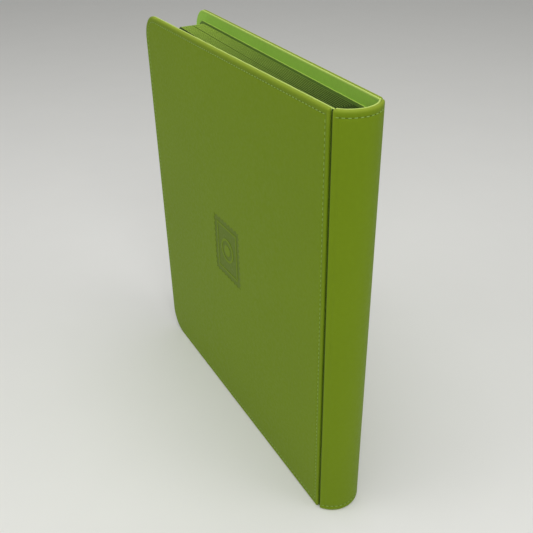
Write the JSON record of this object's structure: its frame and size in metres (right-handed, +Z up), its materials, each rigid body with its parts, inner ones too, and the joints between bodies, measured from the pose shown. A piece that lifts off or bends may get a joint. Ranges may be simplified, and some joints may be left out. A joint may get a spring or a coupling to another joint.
{
  "type": "stamp album",
  "caption": "Upright stamp stockbook with padded stitched leatherette covers, a rounded spine and card leaves on linen guards that fan open.",
  "frame": {"origin": "middle of the footprint on the standing surface, at the bottom of the bounding box", "axes": "+Z up along the spine, +X out of the rounded spine, -Y out of the front cover"},
  "size_m": [0.2912, 0.05, 0.32],
  "materials": {
    "leatherette": "matte",
    "lining": "matte",
    "foam": "matte",
    "greyboard": "matte",
    "card": "matte",
    "linen": "matte",
    "mull": "matte",
    "thread": "matte",
    "clear_film": "gloss"
  },
  "bodies": {
    "spine": {"spine_leather": "leatherette", "spine_stiffener": "greyboard", "spine_lining": "lining", "binding_block": "linen", "spine_mull": "mull", "front_joint_cloth": "linen", "back_joint_cloth": "linen"},
    "front_cover": {"front_leather": "leatherette", "front_padding": "foam", "front_board": "greyboard", "front_lining": "lining", "front_pastedown": "card"},
    "back_cover": {"back_leather": "leatherette", "back_padding": "foam", "back_board": "greyboard", "back_lining": "lining", "back_pastedown": "card"},
    "leaf_01_body": {"leaf_01": "card", "guard_01": "linen"},
    "leaf_02_body": {"leaf_02": "card", "guard_02": "linen"},
    "leaf_03_body": {"leaf_03": "card", "guard_03": "linen"},
    "leaf_04_body": {"leaf_04": "card", "guard_04": "linen"},
    "leaf_05_body": {"leaf_05": "card", "guard_05": "linen"},
    "leaf_06_body": {"leaf_06": "card", "guard_06": "linen"},
    "leaf_07_body": {"leaf_07": "card", "guard_07": "linen"},
    "leaf_08_body": {"leaf_08": "card", "guard_08": "linen"},
    "leaf_09_body": {"leaf_09": "card", "guard_09": "linen"},
    "leaf_10_body": {"leaf_10": "card", "guard_10": "linen"},
    "leaf_11_body": {"leaf_11": "card", "guard_11": "linen"},
    "leaf_12_body": {"leaf_12": "card", "guard_12": "linen"},
    "leaf_13_body": {"leaf_13": "card", "guard_13": "linen"},
    "leaf_14_body": {"leaf_14": "card", "guard_14": "linen"},
    "leaf_15_body": {"leaf_15": "card", "guard_15": "linen"},
    "leaf_16_body": {"leaf_16": "card", "guard_16": "linen"}
  },
  "joints": [
    {"name": "front_cover_open", "type": "hinge", "parent": "spine", "child": "front_cover", "pos_m": [0.13484, -0.0184, 0], "axis": [0, 0, 1], "range_deg": [-0.8, 174]},
    {"name": "back_cover_open", "type": "hinge", "parent": "spine", "child": "back_cover", "pos_m": [0.13484, 0.0184, 0], "axis": [0, 0, -1], "range_deg": [-0.8, 174]},
    {"name": "leaf_01_turn", "type": "hinge", "parent": "spine", "child": "leaf_01_body", "pos_m": [0.12284, -0.0174, 0], "axis": [0, 0, 1], "range_deg": [-0.8, 154.7]},
    {"name": "leaf_02_turn", "type": "hinge", "parent": "spine", "child": "leaf_02_body", "pos_m": [0.12284, -0.0174, 0], "axis": [0, 0, 1], "range_deg": [-0.7, 135.4]},
    {"name": "leaf_03_turn", "type": "hinge", "parent": "spine", "child": "leaf_03_body", "pos_m": [0.12284, -0.0174, 0], "axis": [0, 0, 1], "range_deg": [-0.6, 116.1]},
    {"name": "leaf_04_turn", "type": "hinge", "parent": "spine", "child": "leaf_04_body", "pos_m": [0.12284, -0.0174, 0], "axis": [0, 0, 1], "range_deg": [-0.5, 96.7]},
    {"name": "leaf_05_turn", "type": "hinge", "parent": "spine", "child": "leaf_05_body", "pos_m": [0.12284, -0.0174, 0], "axis": [0, 0, 1], "range_deg": [-0.4, 77.4]},
    {"name": "leaf_06_turn", "type": "hinge", "parent": "spine", "child": "leaf_06_body", "pos_m": [0.12284, -0.0174, 0], "axis": [0, 0, 1], "range_deg": [-0.3, 58]},
    {"name": "leaf_07_turn", "type": "hinge", "parent": "spine", "child": "leaf_07_body", "pos_m": [0.12284, -0.0174, 0], "axis": [0, 0, 1], "range_deg": [-0.2, 38.7]},
    {"name": "leaf_08_turn", "type": "hinge", "parent": "spine", "child": "leaf_08_body", "pos_m": [0.12284, -0.0174, 0], "axis": [0, 0, 1], "range_deg": [-0.1, 19.4]},
    {"name": "leaf_09_turn", "type": "hinge", "parent": "spine", "child": "leaf_09_body", "pos_m": [0.12284, 0.0174, 0], "axis": [0, 0, -1], "range_deg": [-0.1, 19.4]},
    {"name": "leaf_10_turn", "type": "hinge", "parent": "spine", "child": "leaf_10_body", "pos_m": [0.12284, 0.0174, 0], "axis": [0, 0, -1], "range_deg": [-0.2, 38.7]},
    {"name": "leaf_11_turn", "type": "hinge", "parent": "spine", "child": "leaf_11_body", "pos_m": [0.12284, 0.0174, 0], "axis": [0, 0, -1], "range_deg": [-0.3, 58]},
    {"name": "leaf_12_turn", "type": "hinge", "parent": "spine", "child": "leaf_12_body", "pos_m": [0.12284, 0.0174, 0], "axis": [0, 0, -1], "range_deg": [-0.4, 77.4]},
    {"name": "leaf_13_turn", "type": "hinge", "parent": "spine", "child": "leaf_13_body", "pos_m": [0.12284, 0.0174, 0], "axis": [0, 0, -1], "range_deg": [-0.5, 96.7]},
    {"name": "leaf_14_turn", "type": "hinge", "parent": "spine", "child": "leaf_14_body", "pos_m": [0.12284, 0.0174, 0], "axis": [0, 0, -1], "range_deg": [-0.6, 116.1]},
    {"name": "leaf_15_turn", "type": "hinge", "parent": "spine", "child": "leaf_15_body", "pos_m": [0.12284, 0.0174, 0], "axis": [0, 0, -1], "range_deg": [-0.7, 135.4]},
    {"name": "leaf_16_turn", "type": "hinge", "parent": "spine", "child": "leaf_16_body", "pos_m": [0.12284, 0.0174, 0], "axis": [0, 0, -1], "range_deg": [-0.8, 154.7]}
  ],
  "couplings": [
    {"joint": "leaf_01_turn", "follows": "front_cover_open", "ratio": 0.88889},
    {"joint": "leaf_02_turn", "follows": "front_cover_open", "ratio": 0.77778},
    {"joint": "leaf_03_turn", "follows": "front_cover_open", "ratio": 0.66667},
    {"joint": "leaf_04_turn", "follows": "front_cover_open", "ratio": 0.55556},
    {"joint": "leaf_05_turn", "follows": "front_cover_open", "ratio": 0.44444},
    {"joint": "leaf_06_turn", "follows": "front_cover_open", "ratio": 0.33333},
    {"joint": "leaf_07_turn", "follows": "front_cover_open", "ratio": 0.22222},
    {"joint": "leaf_08_turn", "follows": "front_cover_open", "ratio": 0.11111},
    {"joint": "leaf_09_turn", "follows": "back_cover_open", "ratio": 0.11111},
    {"joint": "leaf_10_turn", "follows": "back_cover_open", "ratio": 0.22222},
    {"joint": "leaf_11_turn", "follows": "back_cover_open", "ratio": 0.33333},
    {"joint": "leaf_12_turn", "follows": "back_cover_open", "ratio": 0.44444},
    {"joint": "leaf_13_turn", "follows": "back_cover_open", "ratio": 0.55556},
    {"joint": "leaf_14_turn", "follows": "back_cover_open", "ratio": 0.66667},
    {"joint": "leaf_15_turn", "follows": "back_cover_open", "ratio": 0.77778},
    {"joint": "leaf_16_turn", "follows": "back_cover_open", "ratio": 0.88889}
  ]
}
